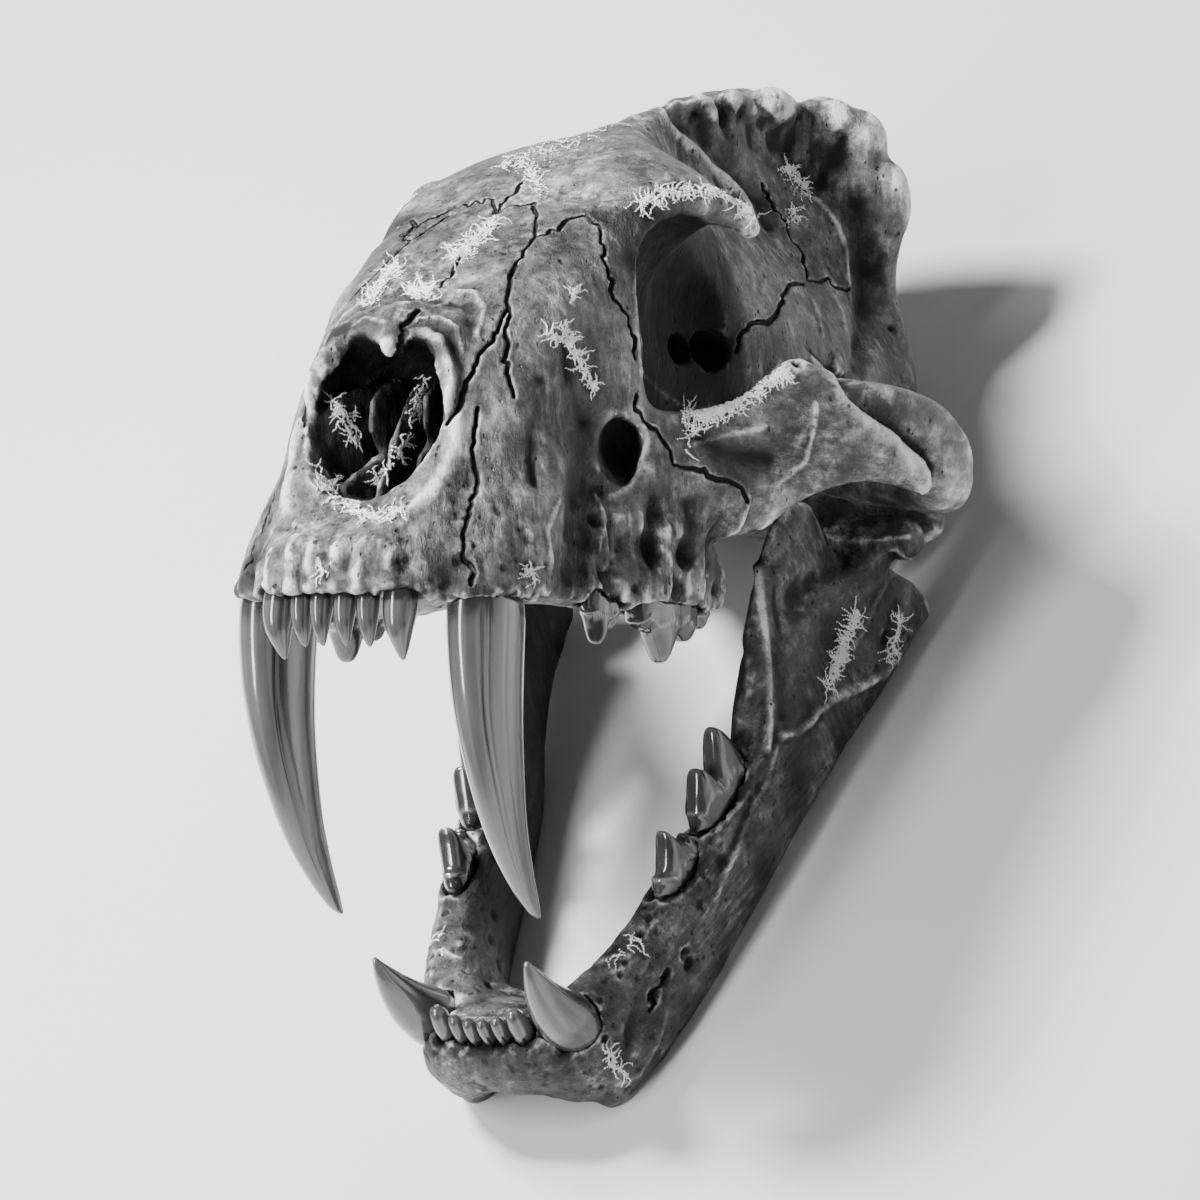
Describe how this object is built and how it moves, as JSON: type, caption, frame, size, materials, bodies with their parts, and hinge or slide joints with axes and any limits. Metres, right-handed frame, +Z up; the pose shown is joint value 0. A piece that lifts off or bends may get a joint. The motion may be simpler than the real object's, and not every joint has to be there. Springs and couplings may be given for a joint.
{
  "type": "fossil sabre-toothed cat skull",
  "caption": "Fossil skull of a sabre-toothed cat with its jaws wide open, resting on the lower jaw and the back of the head.",
  "frame": {"origin": "centre of the bottom of the box round the part, on the surface it rests on", "axes": "+Z up, -Y the way the lower jaw points, +X to the animal's left"},
  "size_m": [0.1994, 0.3531, 0.2176],
  "materials": {
    "bone": "matt grey fossil bone, cracked and pitted, with pale mineral crust",
    "jaw_bone": "matt dark grey fossil bone, pitted",
    "enamel": "polished grey enamel with fine cracks along the tooth"
  },
  "bodies": {
    "root": {"cranium": "bone", "mandible": "jaw_bone", "upper_incisor_1_left": "enamel", "upper_incisor_1_right": "enamel", "upper_incisor_2_left": "enamel", "upper_incisor_2_right": "enamel", "upper_incisor_3_left": "enamel", "upper_incisor_3_right": "enamel", "upper_canine_left": "enamel", "upper_canine_right": "enamel", "upper_premolar_left": "enamel", "upper_premolar_right": "enamel", "upper_carnassial_left": "enamel", "upper_carnassial_right": "enamel", "upper_molar_left": "enamel", "upper_molar_right": "enamel", "lower_incisor_1_left": "enamel", "lower_incisor_1_right": "enamel", "lower_incisor_2_left": "enamel", "lower_incisor_2_right": "enamel", "lower_incisor_3_left": "enamel", "lower_incisor_3_right": "enamel", "lower_canine_left": "enamel", "lower_canine_right": "enamel", "lower_premolar_left": "enamel", "lower_premolar_right": "enamel", "lower_carnassial_left": "enamel", "lower_carnassial_right": "enamel"}
  },
  "joints": []
}
